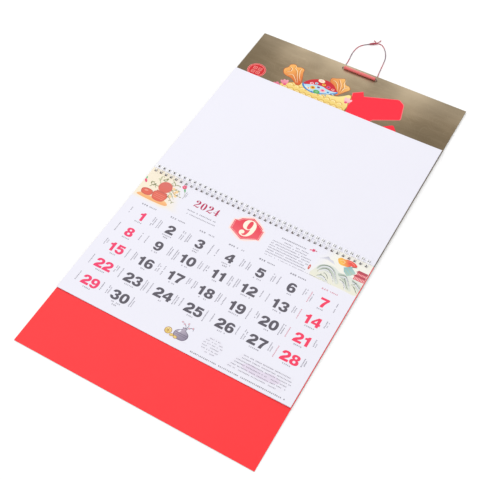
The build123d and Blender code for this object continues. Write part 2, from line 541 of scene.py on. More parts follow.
def inkMaterial(name):
    if name not in inkMaterials:
        colour = srgb(*inks[name])
        mat, tree, shader, grainNode = grainedMaterial(
            name + "Ink", colour, shade=0.1, grain=2600.0, cloud=130.0, gloss=0.4,
            glossSpread=0.15, tooth=0.08, Specular_IOR_Level=0.25)
        if name in washes:
            second, start, end = washes[name]
            wash = washNode(tree, start, end, colours=(colour, srgb(*second)))
            link(tree, wash.outputs["Colour"], grainNode.inputs["Colour"])
        inkMaterials[name] = mat
    return inkMaterials[name]


def printedPaper():
    # paper with the soft ground of both pictures, which also runs between the holes
    colour = sheetSettings["paper"]
    mat, tree, shader, grainNode = grainedMaterial("printedPaper", colour, **paperLook)
    grounds = [
        (srgb(246, 214, 172), (-140, 57), (-137, 45), (-134, 50), (-116, 50)),
        (srgb(242, 231, 208), (-140, 60), (-140, 52), (-142, 30), (-107, 17)),
        (srgb(240, 238, 228), (140, 57), (140, 50), (118, 40), (96, 34)),
    ]
    for ground, footEnd, footStart, sideStart, sideEnd in grounds:
        kept = maths(tree, "MULTIPLY", fadeAlong(tree, footStart, footEnd, 0.5, 90.0),
                     fadeAlong(tree, sideStart, sideEnd, 0.7, 60.0))
        if ground is grounds[0][0]:
            kept = maths(tree, "MULTIPLY", kept, fadeAlong(tree, (-140, 44), (-140, 30), 0.8, 70.0))
        colour = mixColour(tree, kept, colour, ground)
    link(tree, colour, grainNode.inputs["Colour"])
    return mat


def ellipse(x, down, wide, tall=None, turn=0.0, points=36, start=0.0, end=360.0):
    tall = wide if tall is None else tall
    t, full = math.radians(turn), abs(end - start) >= 360
    found = []
    for i in range(points if full else points + 1):
        a = math.radians(start + (end - start) * i / points)
        u, v = wide * math.cos(a), tall * math.sin(a)
        found.append((x + u * math.cos(t) - v * math.sin(t), down + u * math.sin(t) + v * math.cos(t)))
    return found


def box(x0, down0, x1, down1):
    return [(x0, down0), (x1, down0), (x1, down1), (x0, down1)]


def bar(x0, down0, x1, down1, width):
    along = Vector((x1 - x0, down1 - down0)).normalized() * (width / 2)
    across = Vector((-along.y, along.x))
    return [(x0 + across.x, down0 + across.y), (x1 + across.x, down1 + across.y),
            (x1 - across.x, down1 - across.y), (x0 - across.x, down0 - across.y)]


def grown(points, middle, by):
    # every point moved away from the middle by the same distance
    return [tuple(middle + (Vector(p) - middle) * (1 + by / (Vector(p) - middle).length))
            for p in points]


def smooth(points, steps=6, closed=True):
    # a rounded outline through given points
    count = len(points)
    found = []
    for i in range(count if closed else count - 1):
        p = [Vector(points[(i + k) % count if closed else min(max(i + k, 0), count - 1)])
             for k in (-1, 0, 1, 2)]
        for j in range(steps):
            t = j / steps
            found.append(tuple(0.5 * (2 * p[1] + (p[2] - p[0]) * t
                                      + (2 * p[0] - 5 * p[1] + 4 * p[2] - p[3]) * t * t
                                      + (3 * p[1] - 3 * p[2] + p[3] - p[0]) * t ** 3)))
    if not closed:
        found.append(tuple(points[-1]))
    return found


def stroke(points, width, taper=0.35, steps=6):
    # a brush line that thins towards both ends
    line = [Vector(p) for p in smooth(points, steps, closed=False)]
    left, right = [], []
    for i, p in enumerate(line):
        ahead = (line[min(i + 1, len(line) - 1)] - line[max(i - 1, 0)]).normalized()
        half = width / 2 * (taper + (1 - taper) * math.sin(math.pi * i / (len(line) - 1)))
        across = Vector((-ahead.y, ahead.x)) * half
        left.append(tuple(p + across))
        right.append(tuple(p - across))
    return left + right[::-1]


def outlinesOf(path):
    # "M x,y L x,y C x,y x,y x,y" with more corners after a letter taken as the same kind
    found, kind, waiting = [], "L", []
    for word in path.replace(",", " ").split():
        if word in ("M", "L", "C"):
            kind, waiting = word, []
            if word == "M":
                found.append([])
            continue
        waiting.append(float(word))
        if kind == "C" and len(waiting) == 6:
            start = Vector(found[-1][-1])
            a, b, end = (Vector(waiting[k:k + 2]) for k in (0, 2, 4))
            for i in range(1, curveSteps + 1):
                t = i / curveSteps
                found[-1].append(tuple(start * (1 - t) ** 3 + a * 3 * t * (1 - t) ** 2
                                       + b * 3 * t * t * (1 - t) + end * t ** 3))
            waiting = []
        elif kind != "C" and len(waiting) == 2:
            found[-1].append(tuple(waiting))
            waiting = []
    for line in found:
        if (Vector(line[0]) - Vector(line[-1])).length < 1e-6:
            line.pop()
    return found


# The plain numbers: x to the right, y upward, 100 to the height of a digit.
digitHeight = 100
sixWidth = 84                 # the nine is the six, turned round
oneShare = 0.82               # the room for a one, as a share of another digit's
curveSteps = 8
six = ("M 81,75 C 79,92 66,102 44,102 15,102 0,83 0,49 0,15 14,-2 43,-2 69,-2 84,11 84,34 "
       "84,54 71,66 51,66 41,66 34,63 28,56 28,73 33,81 43,81 49,81 53,79 54,75 "
       "M 43,46 C 51,46 56,41 56,33 56,24 51,19 43,19 35,19 30,24 30,33 30,41 35,46 43,46")
heavyDigits = {
    "0": "M 42,102 C 70,102 84,82 84,50 84,18 70,-2 42,-2 14,-2 0,18 0,50 0,82 14,102 42,102 "
         "M 42,79 C 51,79 55,71 55,50 55,29 51,21 42,21 33,21 29,29 29,50 29,71 33,79 42,79",
    "1": "M 55,0 L 55,100 34,100 C 31,88 22,82 6,81 L 6,62 27,62 27,0",
    "2": "M 1,66 C 2,90 17,102 43,102 68,102 83,90 83,70 83,56 76,46 60,36 52,31 45,27 41,24 "
         "L 84,24 84,0 0,0 C 0,22 8,34 27,46 44,57 54,60 54,69 54,76 50,80 42,80 33,80 29,75 28,66",
    "3": "M 2,70 C 4,91 18,102 43,102 67,102 81,92 81,75 81,64 76,57 66,53 78,50 84,41 84,29 "
         "84,10 69,-2 43,-2 16,-2 1,9 0,31 L 28,31 C 29,23 34,19 43,19 51,19 56,23 56,30 "
         "56,38 50,41 40,41 L 34,41 34,61 40,61 C 49,61 53,64 53,71 53,77 49,80 43,80 "
         "35,80 31,77 30,70",
    "4": "M 48,0 L 76,0 76,22 86,22 86,43 76,43 76,100 47,100 1,45 1,22 48,22 "
         "M 48,43 L 48,72 24,43",
    "5": "M 78,100 L 11,100 4,45 29,45 C 32,49 36,51 42,51 51,51 56,45 56,35 56,26 51,20 42,20 "
         "34,20 30,24 28,30 L 0,30 C 3,9 18,-2 42,-2 69,-2 84,12 84,36 84,57 71,71 50,71 "
         "43,71 37,69 33,66 L 35,78 78,78",
    "6": six,
    "7": "M 0,100 L 84,100 84,80 C 66,58 56,33 54,0 L 24,0 C 27,31 37,55 55,76 L 0,76",
    "8": "M 42,102 C 66,102 80,92 80,75 80,64 75,57 65,53 77,49 84,41 84,28 84,9 69,-2 42,-2 "
         "15,-2 0,9 0,28 0,41 7,49 19,53 9,57 4,64 4,75 4,92 18,102 42,102 "
         "M 42,82 C 49,82 53,78 53,72 53,66 49,62 42,62 35,62 31,66 31,72 31,78 35,82 42,82 "
         "M 42,43 C 50,43 55,38 55,31 55,23 50,18 42,18 34,18 29,23 29,31 29,38 34,43 42,43",
}
bookDigits = {
    "0": "M 35,102 C 58,102 69,82 69,50 69,18 58,-2 35,-2 12,-2 1,18 1,50 1,82 12,102 35,102 "
         "M 35,97 C 45,97 46,80 46,50 46,20 45,3 35,3 25,3 24,20 24,50 24,80 25,97 35,97",
    "1": "M 12,0 L 12,4 26,5 26,88 10,88 10,92 C 22,93 32,96 40,102 L 48,102 48,5 62,4 62,0",
    "2": "M 33,102 C 55,102 68,91 68,74 68,60 58,50 42,40 28,31 18,24 13,14 20,19 28,18 36,15 "
         "45,11 51,11 56,13 61,15 64,19 66,27 L 70,27 C 70,10 66,-2 52,-2 44,-2 38,1 31,4 "
         "22,8 12,8 6,-1 L 1,-1 C 3,18 10,28 25,41 38,52 44,61 44,75 44,89 39,97 29,97 "
         "22,97 16,94 14,89 17,90 19,90 20,90 27,90 32,85 32,78 32,71 26,66 19,66 "
         "10,66 4,72 4,80 4,92 15,102 33,102",
    "4": "M 66,0 L 66,4 56,5 56,28 72,28 72,34 56,34 56,102 50,102 1,34 1,28 34,28 34,5 22,4 22,0 "
         "M 34,34 L 34,76 6,34",
    "9": "M 34,102 C 56,102 70,84 70,55 70,20 54,-2 29,-2 13,-2 4,6 4,17 4,26 10,31 18,31 "
         "25,31 30,26 30,20 30,14 26,10 20,9 22,5 26,3 31,3 43,3 48,20 48,47 L 48,50 "
         "C 43,42 36,39 29,39 11,39 1,52 1,70 1,89 15,102 34,102 "
         "M 35,97 C 28,97 24,89 24,70 24,52 28,45 35,45 43,45 47,54 47,70 47,89 43,97 35,97",
}


def numberShapes(text, digits, x, down, height, advance, ink, layer=0):
    # a number centred on a place, with equal steps from digit to digit
    placed, start = [], 0
    for digit in text:
        turned = digit == "9" and "9" not in digits
        lines = outlinesOf(digits["6" if turned else digit])
        if turned:
            lines = [[(sixWidth - u, digitHeight - v) for u, v in line] for line in lines]
        placed.append([[(u + start, v) for u, v in line] for line in lines])
        start += advance * (oneShare if digit == "1" else 1)
    left = min(u for lines in placed for line in lines for u, v in line)
    right = max(u for lines in placed for line in lines for u, v in line)
    size = height / digitHeight
    return [(ink, layer, [[(x + (u - (left + right) / 2) * size, down - (v - digitHeight / 2) * size)
                           for u, v in line] for line in lines]) for lines in placed]


markStep = 1.14               # from one mark to the next, in marks


def smallMark(ink, x, down, size, draw, layer=0):
    # two short bars, one over the other, in the place of a printed sign
    shapes = []
    for level in (-0.24, 0.24):
        start, end = draw.uniform(-0.48, -0.2) * size, draw.uniform(0.2, 0.48) * size
        shapes.append((ink, layer, [bar(x + start, down + level * size, x + end,
                                        down + level * size, 0.3 * size)]))
    return shapes


def markRow(ink, x, down, length, size, draw, gaps=0.12, layer=0, upright=False):
    # marks side by side, or one below the other; gaps is the share left out
    shapes = []
    for i in range(max(1, round(length / (size * markStep)))):
        if draw.random() > gaps:
            shift = (i + 0.5) * size * markStep
            place = (x, down + shift) if upright else (x + shift, down)
            shapes += smallMark(ink, *place, size, draw, layer)
    return shapes


def markColumn(ink, x, down, length, size, draw):
    return markRow(ink, x, down, length, size, draw, 0.06, upright=True)


def twig(ink, points, width, leaves, size, leafInk, draw):
    shapes = [(ink, 1, [stroke(points, width)])]
    line = smooth(points, 5, closed=False)
    for i in range(leaves):
        x, down = line[int((i + 0.7) / leaves * (len(line) - 1))]
        turn = draw.uniform(-80, 80) + (180 if draw.random() < 0.5 else 0)
        reach = size * draw.uniform(0.7, 1.1)
        a = math.radians(turn)
        leaf = ellipse(x + reach * math.cos(a), down + reach * math.sin(a), reach, reach * 0.36,
                       turn, 14)
        shapes.append((leafInk, 2, [leaf]))
    return shapes


def flower(x, down, size, ink, eye, layer=2):
    shapes = []
    for i in range(5):
        a = math.radians(72 * i + 20)
        shapes.append((ink, layer + i % 2, [ellipse(x + size * 0.55 * math.cos(a),
                                                    down + size * 0.55 * math.sin(a),
                                                    size * 0.5, size * 0.42, 72 * i + 20, 14)]))
    return shapes + [(eye, layer + 3, [ellipse(x, down, size * 0.24, points=12)])]


def leftPicture(draw):
    shapes = [
        ("amber", 0, [smooth([
            (-168, 50), (-160, 45.4), (-148, 47), (-132, 44.6), (-124, 46.6), (-120, 50),
            (-124, 53), (-140, 54), (-160, 53.6), (-168, 52.6)])]),
        # the upper pot, the lower pot and the dish
        ("potLight", 2, [ellipse(-138.6, 24.3, 10.3, 10.1)]),
        ("potRed", 3, [ellipse(-138.6, 24.3, 9.6, 9.4)]),
        ("potShade", 4, [ellipse(-138.6, 24.3, 9.0, 8.8), ellipse(-138.6, 24.3, 8.5, 8.3)]),
        ("potShade", 2, [smooth([
            (-148.4, 36), (-138, 33.6), (-128, 36), (-127.6, 43), (-130.6, 48.6), (-138, 50.4),
            (-145.6, 48.8), (-148.8, 43)])]),
        ("potRed", 3, [smooth([
            (-147.6, 37), (-138, 35), (-128.9, 37), (-128.6, 43), (-131.6, 47.8), (-138, 49.4),
            (-144.8, 48), (-147.9, 43)])]),
        ("potShade", 4, [bar(-146.6, 34.2, -129.8, 34.2, 2.4)]),
        ("potShade", 3, [smooth([
            (-166.8, 41), (-163, 37.6), (-157, 36.8), (-151, 38), (-149, 42), (-150.6, 46.6),
            (-157, 48.8), (-164.6, 47)])]),
        ("potRed", 4, [smooth([
            (-165.6, 41), (-162.4, 38.8), (-157, 38.2), (-152, 39.4), (-150.4, 42.4), (-152, 45.8),
            (-157, 47.4), (-163.6, 46)])]),
        ("potLight", 5, [ellipse(-159.5, 41.2, 3.0, 1.2, -12, 16)]),
    ]
    for i in range(3):
        shapes.append(("potLight", 5, [bar(-146, 39.2 + 3.0 * i, -130.2, 39.2 + 3.0 * i, 0.5)]))
    for line in ([(-147, 22), (-152, 16), (-153, 10), (-150, 8)], [(-145, 17), (-146, 12), (-142, 8.6)],
                 [(-131, 18), (-126, 12.5), (-121, 12)], [(-129, 24), (-121, 21), (-115, 24)],
                 [(-130, 30), (-124, 31), (-119, 36)], [(-148, 28), (-155, 27), (-158, 31)],
                 [(-135, 15), (-133, 10.5), (-136, 8.2)], [(-127, 26), (-119, 29), (-113, 29)],
                 [(-129, 34), (-122, 39), (-116, 43)], [(-150, 31), (-158, 24), (-162, 25)]):
        shapes += twig("moss", line, 0.7, 7, 1.9, draw.choice(("moss", "mossPale", "moss")), draw)
    for x, down in ((-122, 27), (-118.5, 31), (-125, 35), (-120.6, 23.5), (-126.5, 21)):
        shapes.append(("amber", 1, [ellipse(x, down, draw.uniform(2.2, 3.6), draw.uniform(1.6, 2.6),
                                            draw.uniform(0, 90), 18)]))
    shapes += [("leafGreen", 1, [ellipse(-112.4, 14.8, 4.4, 1.3, 58, 20)]),
               ("leafGreen", 1, [ellipse(-171.4, 21.6, 2.6, 1.2, 70, 18)]),
               ("mossPale", 1, [stroke([(-115, 11), (-110.5, 18), (-107, 27)], 0.5)])]
    shapes += flower(-115.4, 10.4, 3.6, "blossom", "blossomPale")
    shapes += [("blossom", 2, [ellipse(-169.6, 26.6, 3.6, 1.7, 52, 20)])]
    shapes += markColumn("palePrint", -107.4, 16.5, 14.5, 1.7, draw)
    shapes += markColumn("palePrint", -105.2, 17.5, 8, 1.4, draw)
    return shapes


def rightPicture(draw):
    shapes = [
        ("cloudRed", 1, [smooth([
            (127, 15), (125.6, 11.6), (129, 8.4), (134, 8.6), (138, 7.2), (145, 7.2), (150, 8.6),
            (153.6, 11.6), (151, 14.4), (146, 14.6), (144, 17.6), (139, 18.8), (133, 19.2),
            (129.4, 18)])]),
        ("amber", 2, [stroke([(129, 14.6), (132, 11.4), (136, 12.6), (135, 15.6), (131.6, 15.2)], 0.9)]),
        ("potLight", 2, [stroke([(138, 10.4), (143, 9), (148, 10.6), (149.6, 12.6)], 0.8)]),
        ("ridge", 2, [stroke([(143, 17), (148, 15.4), (154, 13.2)], 1.1)]),
        ("mountain", 1, [[
            (103, 23.4), (107.6, 19.6), (111, 16.8), (113.4, 15.2), (116, 17.4), (118.6, 18.8),
            (121, 18.2), (126.6, 23.2), (120, 22), (114, 20.4), (109, 22)]]),
        ("teal", 2, [[(138, 21), (146.6, 15.2), (156, 22), (152, 28), (147.6, 31.4), (141, 27)]]),
        ("mossPale", 3, [bar(139.4, 22.6, 149.4, 29.4, 0.6), bar(142.4, 19, 153.2, 26.2, 0.6)]),
        ("roofDark", 3, [[(155.4, 19.4), (158, 15.6), (171.8, 15.6), (171.8, 19.4)]]),
        ("roofRed", 2, [box(157.4, 19.4, 171.8, 24.2)]),
        ("roofDark", 3, [[(153.6, 25.8), (157, 23), (171.8, 23), (171.8, 25.8)]]),
        ("roofRed", 2, [box(156.2, 25.8, 171.8, 31.4)]),
        ("hillPale", 0, [smooth([
            (104, 52.6), (105, 42), (110, 33), (118, 27.4), (128, 27), (138, 31), (147, 29),
            (157, 31), (171.4, 34), (171.4, 52.8), (150, 53.6), (126, 53.4)])]),
        ("hill", 2, [smooth([
            (107.4, 40), (109, 33), (116, 28.6), (125, 28.6), (132, 33), (137, 40), (143, 47),
            (140, 50), (134, 44), (127, 38.6), (119, 37.6), (112, 40)])]),
        ("hill", 2, [smooth([
            (136, 33), (145, 31), (152, 36), (158, 44), (162, 50.6), (156, 51), (150, 45),
            (143, 39), (138, 36.4)])]),
        ("hill", 2, [smooth([
            (156, 33), (164, 35), (171.2, 39), (171.2, 47), (165, 42), (159, 37.6)])]),
        ("hill", 2, [smooth([(112, 50), (118, 45.6), (124, 47), (130, 52.4), (121, 52.4)])]),
    ]
    for i in range(7):
        shapes.append(("badgeHalo", 4, [bar(159 + i * 1.9, 20, 159 + i * 1.9, 22.6, 0.5)]))
        shapes.append(("badgeHalo", 4, [bar(158 + i * 2.0, 26.6, 158 + i * 2.0, 30.6, 0.6)]))
    lines = [[(108, 39), (112, 32), (120, 29), (128, 32), (134, 39), (139, 46)],
             [(110.6, 42), (115, 36), (121, 34), (127, 37.6), (132, 43), (136, 49)],
             [(112, 50.4), (117, 46.6), (123, 48), (128, 52)],
             [(138, 35), (146, 32.6), (152, 38), (157, 45)],
             [(141, 41), (147, 42), (151, 47), (153, 51.4)],
             [(157, 34.6), (163, 36.6), (170.6, 41.6)], [(159, 40), (165, 44.6), (170.6, 50)],
             [(119, 41), (124, 43.4), (128, 48)], [(146, 36), (150, 41), (156, 49)]]
    for line in lines:
        shapes.append(("ridge", 3, [stroke(line, 0.8)]))
    for line in lines[:6]:
        shapes.append(("mist", 3, [stroke([(x + 1.4, down + 1.9) for x, down in line], 1.5)]))
    for _ in range(46):
        line = draw.choice(lines)
        x, down = draw.choice(smooth(line, 5, closed=False))
        shapes.append((draw.choice(("ridge", "moss", "hillPale")), 4,
                       [ellipse(x + draw.uniform(-1.6, 1.6), down + draw.uniform(-1.2, 1.2),
                                draw.uniform(0.4, 1.1), draw.uniform(0.25, 0.5),
                                draw.uniform(0, 180), 10)]))
    shapes += flower(91.2, 16.4, 2.5, "blossom", "roofDark")
    shapes += [("blossom", 2, [ellipse(87.6, 17.4, 1.9, 0.8, -20, 14)]),
               ("roofDark", 2, [ellipse(95.0, 16.0, 1.4, 0.6, 20, 12)])]
    shapes += [("potShade", 2, [smooth([
        (96.8, 40), (98.2, 38.6), (99.6, 41), (99.6, 45), (98.2, 47.2), (96.8, 44.6)])]),
               ("blossomPale", 3, [ellipse(98.2, 42.8, 0.6, 1.8, 0, 12)])]
    return shapes


def badgeShapes(month):
    edge = [(-3.5, 9.9), (11.2, 17.2), (15.4, 20.4), (15.4, 22.5), (18.6, 23.5), (19.1, 39.3),
            (15.4, 39.8), (-3.5, 49.2), (-22.4, 40.3), (-25, 38.7), (-26.1, 23.5), (-21.4, 21.9),
            (-18.2, 17.2)]
    middle = Vector((-3.5, 30.0))
    shapes = [("badgeHalo", 0, [smooth(grown(edge, middle, 2.2), 3)]), ("badgeRed", 1, [edge]),
              ("badgeHalo", 2, [grown(edge, middle, -1.5), grown(edge, middle, -1.85)])]
    return shapes + numberShapes(str(month), bookDigits, -2.6, 28.6, 28.0 if month < 10 else 23.0,
                                 72, "badgeCream", 2)


def stillLife(draw):
    # a small vase with buds beside two pieces of fruit
    shapes = [
        ("mist", 0, [ellipse(2, 221.6, 17, 1.7, 0, 30)]),
        ("vaseDark", 1, [smooth([
            (2.4, 203.6), (8.6, 203.6), (8.2, 206.4), (13.6, 210), (15.4, 214.6), (13.4, 219.4),
            (9, 221.8), (1.6, 221.8), (-2.8, 219.4), (-4.8, 214.6), (-2.8, 210), (2.6, 206.4)])]),
        ("vaseMauve", 2, [smooth([
            (3, 204.2), (8, 204.2), (7.6, 206.8), (12.8, 210.4), (14.5, 214.6), (12.6, 218.9),
            (8.6, 221.1), (2, 221.1), (-2, 218.9), (-3.9, 214.6), (-2.2, 210.4), (3.2, 206.8)])]),
        ("vaseDark", 3, [bar(-3.4, 213.0, 14.0, 213.0, 0.7), bar(-3.2, 215.6, 13.8, 215.6, 0.5)]),
        ("vaseDark", 3, [stroke([(5.6, 204), (4, 200), (-2, 197)], 0.7)]),
        ("vaseDark", 3, [stroke([(5.8, 204), (7.6, 199.6), (6.6, 196.2)], 0.7)]),
        ("vaseDark", 3, [stroke([(6.2, 204), (10.4, 201), (14.6, 199.4), (16.2, 203)], 0.8)]),
        ("tan", 1, [ellipse(-12.2, 216.2, 5.0)]), ("yolk", 2, [ellipse(-12.2, 216.2, 4.3)]),
        ("tan", 3, [ellipse(-5.2, 220.0, 2.9, 2.1, -18, 20)]),
        ("yolk", 4, [ellipse(-5.2, 220.0, 2.4, 1.6, -18, 18)]),
        ("tan", 5, [ellipse(0.4, 220.6, 3.0, 2.2, 12, 20)]),
        ("yolk", 6, [ellipse(0.4, 220.6, 2.5, 1.7, 12, 18)]),
        ("mist", 4, [ellipse(1.2, 210.2, 1.2, 2.4, 24, 16)]),
    ]
    for i in range(3):
        a = math.radians(30 + 60 * i)
        shapes.append(("tan", 3 + i, [bar(-12.2 - 3.4 * math.cos(a), 216.2 - 3.4 * math.sin(a),
                                          -12.2 + 3.4 * math.cos(a), 216.2 + 3.4 * math.sin(a),
                                          0.45)]))
    for x, down in ((-2.2, 197), (6.4, 196), (1.6, 198.6), (14.4, 199.4), (9.8, 201.6)):
        shapes.append(("vaseMauve", 4, [ellipse(x, down, 1.7, 1.3, draw.uniform(0, 180), 14)]))
        shapes.append(("blossomPale", 5, [ellipse(x, down, 0.8, points=10)]))
    return shapes


def pageFoot(draw):
    shapes = [("mist", 0, [ellipse(48, 209.6, 14.6, 12.6)]),
              ("mist", 0, [[(86, 197.6), (158, 197.6), (152, 223), (74, 223)]]),
              ("mistMauve", 1, [smooth([
                  (92, 212), (104, 207), (118, 209), (134, 206), (146, 211), (138, 217),
                  (118, 218.6), (100, 217.4)])])]
    for i in range(6):
        down = 200 + i * 3.9
        half = math.sqrt(max(0.0, 1 - ((down - 209.6) / 12.6) ** 2)) * 13.4
        shapes += markRow("palePrint", 48 - half, down, 2 * half, 1.5, draw, 0.3, 1)
    for i, (start, length) in enumerate(((88, 66), (86, 72), (82, 76), (80, 74), (79, 76), (77, 70))):
        ink = "smallPrint" if i in (0, 3) else "palePrint"
        shapes += markRow(ink, start, 199.6 + i * 4.3, length, 1.6, draw, 0.16, 2)
    return shapes + markRow("darkNumber", 27, 228.3, 133, 2.1, draw, 0.06)


monthGrid = {
    "middle": 0.5, "columnStep": 46.5,
    "weekdays": 64, "firstWeek": 83.5, "weekStep": 30.5,
    "dayHeight": 14.6, "digitStep": 91,
    "noteOffset": 18.6, "noteTop": 8.6, "noteLength": (11, 18.5), "secondNote": 0.62,
}


def columnMiddle(column):
    return monthGrid["middle"] + monthGrid["columnStep"] * (column - 3)


def headingShapes(draw):
    # the year, with two lines of small print below it
    shapes = numberShapes("2024", bookDigits, -68.8, 26.7, 11.8, 86, "crimson")
    shapes += markRow("smallPrint", -91.6, 41.7, 46, 2.1, draw)
    shapes += markRow("palePrint", -89.6, 47.7, 46, 1.9, draw)
    # a block of small print between the badge and the right picture
    shapes += markRow("smallPrint", 44, 19.3, 38, 2.2, draw, 0.04)
    for i in range(7):
        start = 47 - 12 * min(i, 1.4) + draw.uniform(-1, 1)
        shapes += markRow("palePrint", max(35, start), 24.6 + i * 4.1,
                          95 - max(35, start) - (7 if i < 2 else 0), 1.9, draw, 0.1)
    return shapes + markRow("palePrint", 36, 53.4, 100, 1.3, draw, 0.25)


def dayShapes(firstColumn, days, draw):
    # the names of the weekdays, then each day's number with the notes round it
    shapes = []
    for column in range(7):
        x, down = columnMiddle(column), monthGrid["weekdays"]
        ink = "pinkPrint" if column == 6 else "smallPrint"
        shapes += markRow(ink, x - 13, down, 11, 2.9, draw, 0)
        shapes += markRow(ink, x - 1, down, 12.6, 2.1, draw, 0.1)
    for day in range(1, days + 1):
        place = firstColumn + day - 1
        column, row = place % 7, place // 7
        x, down = columnMiddle(column), monthGrid["firstWeek"] + monthGrid["weekStep"] * row
        ink = {0: "redNumber", 6: "saturdayNumber"}.get(column, "darkNumber")
        shapes += numberShapes(str(day), heavyDigits, x, down, monthGrid["dayHeight"],
                               monthGrid["digitStep"], ink)
        noteTop = down - monthGrid["noteTop"]
        for side in (-1, 1):
            full = draw.uniform(*monthGrid["noteLength"])
            small = "pinkPrint" if side < 0 and column == 6 else "palePrint"
            edge = x + side * monthGrid["noteOffset"]
            shapes += markColumn(small, edge - 1.5, noteTop, full, 2.0, draw)
            if draw.random() < monthGrid["secondNote"]:
                small = "smallPrint" if draw.random() < 0.3 else "palePrint"
                shapes += markColumn(small, edge + 1.5, noteTop + draw.uniform(0, 3), full - 3, 1.9,
                                     draw)
        length = draw.uniform(8, 15)
        shapes += markRow("palePrint", x - length / 2, down + 10.6, length, 2.1, draw)
        if draw.random() < 0.14:
            shapes += markRow("smallPrint", x - 4, down + 14.2, 8, 2.2, draw)
    return shapes


def monthShapes(month, firstColumn, days, seed):
    draw = random.Random(seed)
    shapes = leftPicture(draw) + rightPicture(draw) + badgeShapes(month) + headingShapes(draw)
    return shapes + dayShapes(firstColumn, days, draw) + stillLife(draw) + pageFoot(draw)


def ribbonShapes():
    # a wide red ribbon and its tail
    ribbon = [
        (8.8, 275.7), (21.9, 285.4), (26.6, 276.6), (73.6, 296.2), (76.6, 296.4), (84.6, 291.4),
        (86.6, 288.4), (93.4, 262), (92.6, 259.4), (57.8, 239.9), (46, 214), (40, 209), (14, 204),
        (9, 208), (12, 232), (14, 256)]
    tail = [(70, 230), (88, 244.2), (90.6, 244.4), (98.4, 234.6), (99, 231), (92, 213),
            (89, 211), (74, 207), (71, 210)]
    rim = grown(ribbon, Vector((50, 263)), 1.1)
    return [("coralRim", 0, [rim]), ("coral", 1, [ribbon]), ("coral", 1, [tail])]


def hillShapes():
    # a yellow hill of scallops, with a flower at each side
    mound = [
        (-101, 226), (-99, 236), (-93.5, 243.6), (-86, 247.6), (-78, 252.6), (-68, 256.6),
        (-52, 256), (-34, 254), (-20, 254.6), (-8, 257.6), (0, 263.6), (7, 270), (11.6, 266),
        (12, 254), (15.6, 244), (17, 226), (12, 206), (-6, 192), (-34, 185), (-62, 187), (-86, 197),
        (-98, 211)]
    shapes = [("moundShade", 0, [smooth(mound)]),
              ("moundYellow", 1, [smooth([(x * 0.975 - 1.2, 226 + (y - 226) * 0.97)
                                          for x, y in mound])])]
    for row in range(6):
        for i in range(11):
            x, y = -93 + 10.4 * i + (5.2 if row % 2 else 0), 243.5 - 9.0 * row
            top = 252.6 if -84 < x < -2 else 246.6
            if -92 < x < 8 and y < top - 2 and abs(x + 42) < 52 - 2.6 * max(0, row - 2) ** 1.5:
                shapes += [("moundShade", 2 + row, [ellipse(x, y, 5.1, 5.1, 0, 16, 4, 176)
                                                    + ellipse(x, y, 4.4, 4.4, 0, 16, 176, 4)]),
                           ("fanCream", 2 + row, [ellipse(x, y, 2.9, 2.9, 0, 12, 10, 170)
                                                  + ellipse(x, y, 2.3, 2.3, 0, 12, 170, 10)])]
    for x, y, turns in ((-90.5, 240, (148, 118, 88)), (7.6, 252, (112, 82, 52))):
        for i, turn in enumerate(turns):
            reach = math.radians(turn)
            shapes.append(("petal", 9 + i, [ellipse(x + 5 * math.cos(reach), y + 5 * math.sin(reach),
                                                    6.2, 2.5, turn, 20)]))
        shapes.append(("blossom", 12, [ellipse(x, y, 2.2, points=14)]))
    return shapes


def cloudShapes(draw):
    # two orange clouds with dark and pale brush lines
    left = [(-104.6, 262), (-107.6, 270), (-103.6, 276.6), (-102.6, 283.6), (-96, 287), (-90.6, 283.6),
            (-85, 285.6), (-78.6, 284), (-76.6, 276), (-72.6, 266), (-69.6, 256), (-70, 249.6),
            (-76, 248), (-82, 252.6), (-90, 257), (-98.6, 258)]
    right = [
        (-34, 284), (-33, 289), (-26.6, 291.6), (-21, 294.6), (-15, 297), (-12, 292), (-8, 285.6),
        (-1.6, 284.6), (2.4, 279), (-1.6, 272), (-6.6, 264), (-11, 257.6), (-15.6, 262), (-19, 270),
        (-26, 276.6), (-31.6, 279)]
    shapes = []
    for name, cloud in (("orange", left), ("orangeRight", right)):
        shapes += [("orangeDark", 2, [smooth(cloud)])]
        centre = sum((Vector(p) for p in cloud), Vector((0, 0))) / len(cloud)
        shapes += [(name, 3, [smooth([tuple(centre + (Vector(p) - centre) * 0.955) for p in cloud])])]
    for line in ([(-102, 266), (-97, 270), (-98, 276), (-102, 277)],
                 [(-94, 284), (-93, 278), (-88, 274), (-82, 262), (-76, 252)],
                 [(-84, 283), (-84, 276), (-80, 266), (-74, 257)],
                 [(-98, 261), (-91, 264), (-84, 258), (-78, 251)],
                 [(-31, 284.6), (-25, 283), (-20, 277), (-15, 267)],
                 [(-23, 291), (-19, 286), (-15, 279), (-12, 268)],
                 [(-13, 293.6), (-13, 286), (-9, 278), (-9, 268)],
                 [(-3, 281.6), (-8, 278), (-10, 271)]):
        shapes.append((draw.choice(("orangeDark", "moundShade")), 4, [stroke(line, 1.0)]))
        shapes.append(("fanCream", 5, [stroke([(x + 1.5, y + 0.6) for x, y in line], 0.7)]))
    return shapes


